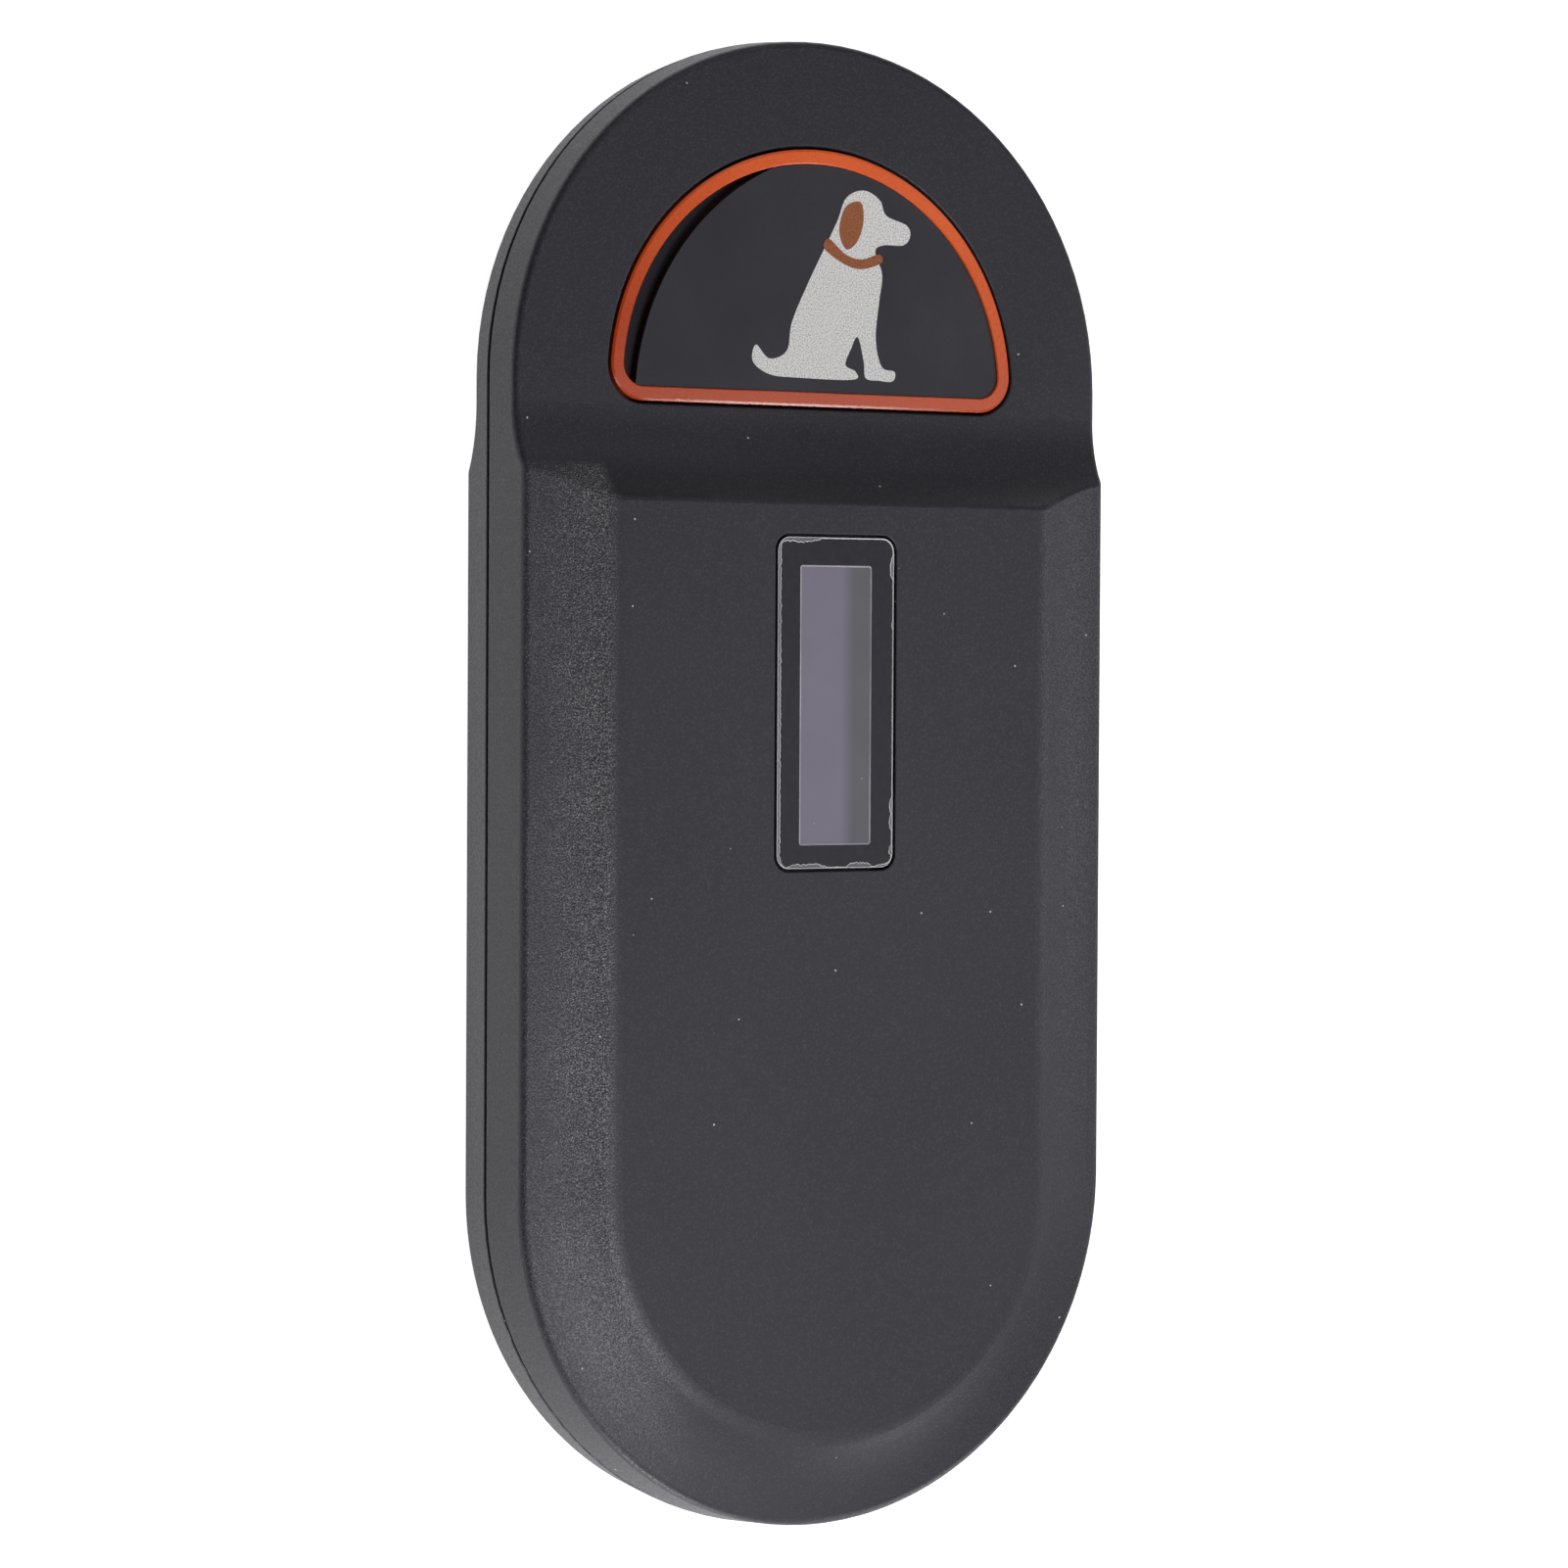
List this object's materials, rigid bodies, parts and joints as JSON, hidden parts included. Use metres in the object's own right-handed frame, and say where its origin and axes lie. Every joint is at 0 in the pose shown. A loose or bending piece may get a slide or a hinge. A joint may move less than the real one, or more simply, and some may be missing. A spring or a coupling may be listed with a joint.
{
  "type": "microchip scanner",
  "caption": "Flat hand-held pet microchip scanner with a thin round reading head, a half-moon scan button and a small display window in a thicker grip.",
  "frame": {"origin": "middle of the case's outline, on the surface that its back lies on", "axes": "+Z out of the front face, +Y along the length towards the reading head, +X to the right seen from the front"},
  "size_m": [0.061, 0.1313, 0.0133],
  "materials": {
    "case_plastic": "fine-grained moulded black plastic",
    "button_orange": "satin orange plastic",
    "button_film": "glossy dark blue-grey film with a printed picture",
    "inner_plastic": "plain black plastic",
    "white_plastic": "glossy off-white plastic",
    "lens_black": "glossy black window with a grey viewing area",
    "glue": "milky dried glue",
    "foam": "black closed-cell foam",
    "panel_glass": "dark display glass",
    "flex_film": "amber polyimide film",
    "board_green": "green solder mask",
    "chip_black": "moulded chip package",
    "ceramic_part": "tan ceramic with tinned ends",
    "steel": "plated steel",
    "copper_wire": "enamelled copper winding",
    "battery_foil": "silver battery pouch",
    "tape": "double-sided tape",
    "wire_red": "red wire insulation",
    "wire_black": "black wire insulation"
  },
  "bodies": {
    "housing": {"front_shell": "case_plastic", "back_shell": "case_plastic", "case_screws": "steel", "switch_board": "board_green", "switch_base": "inner_plastic", "switch_cable": "flex_film", "switch_screws": "steel", "display_lens": "lens_black", "lens_adhesive": "glue", "display_gasket": "foam", "oled_panel": "panel_glass", "oled_holder": "inner_plastic", "oled_flex": "flex_film", "flex_socket": "white_plastic", "main_board": "board_green", "board_screws": "steel", "main_chip": "chip_black", "radio_chip": "chip_black", "charger_chip": "chip_black", "crystal": "steel", "inductor": "chip_black", "capacitors": "ceramic_part", "resistors": "chip_black", "buzzer": "inner_plastic", "antenna_coil": "copper_wire", "coil_former": "white_plastic", "coil_leads": "copper_wire", "battery_cell": "battery_foil", "battery_tape": "tape", "battery_lead_red": "wire_red", "battery_lead_black": "wire_black", "battery_plug": "white_plastic", "battery_socket": "white_plastic", "usb_shell": "steel", "usb_tongue": "inner_plastic"},
    "scan_button": {"button_plate": "inner_plastic", "button_frame": "button_orange", "button_label": "button_film"},
    "click_plunger": {"switch_plunger": "white_plastic"}
  },
  "joints": [
    {"name": "button_press", "type": "slide", "parent": "housing", "child": "scan_button", "axis": [0, 0, -1], "range_m": [0, 0.0004], "stiffness_N_per_m": 900, "springref_m": -0.0006},
    {"name": "plunger_press", "type": "slide", "parent": "housing", "child": "click_plunger", "axis": [0, 0, -1], "range_m": [0, 0.0004]}
  ],
  "couplings": [
    {"joint": "plunger_press", "follows": "button_press", "ratio": 1}
  ]
}
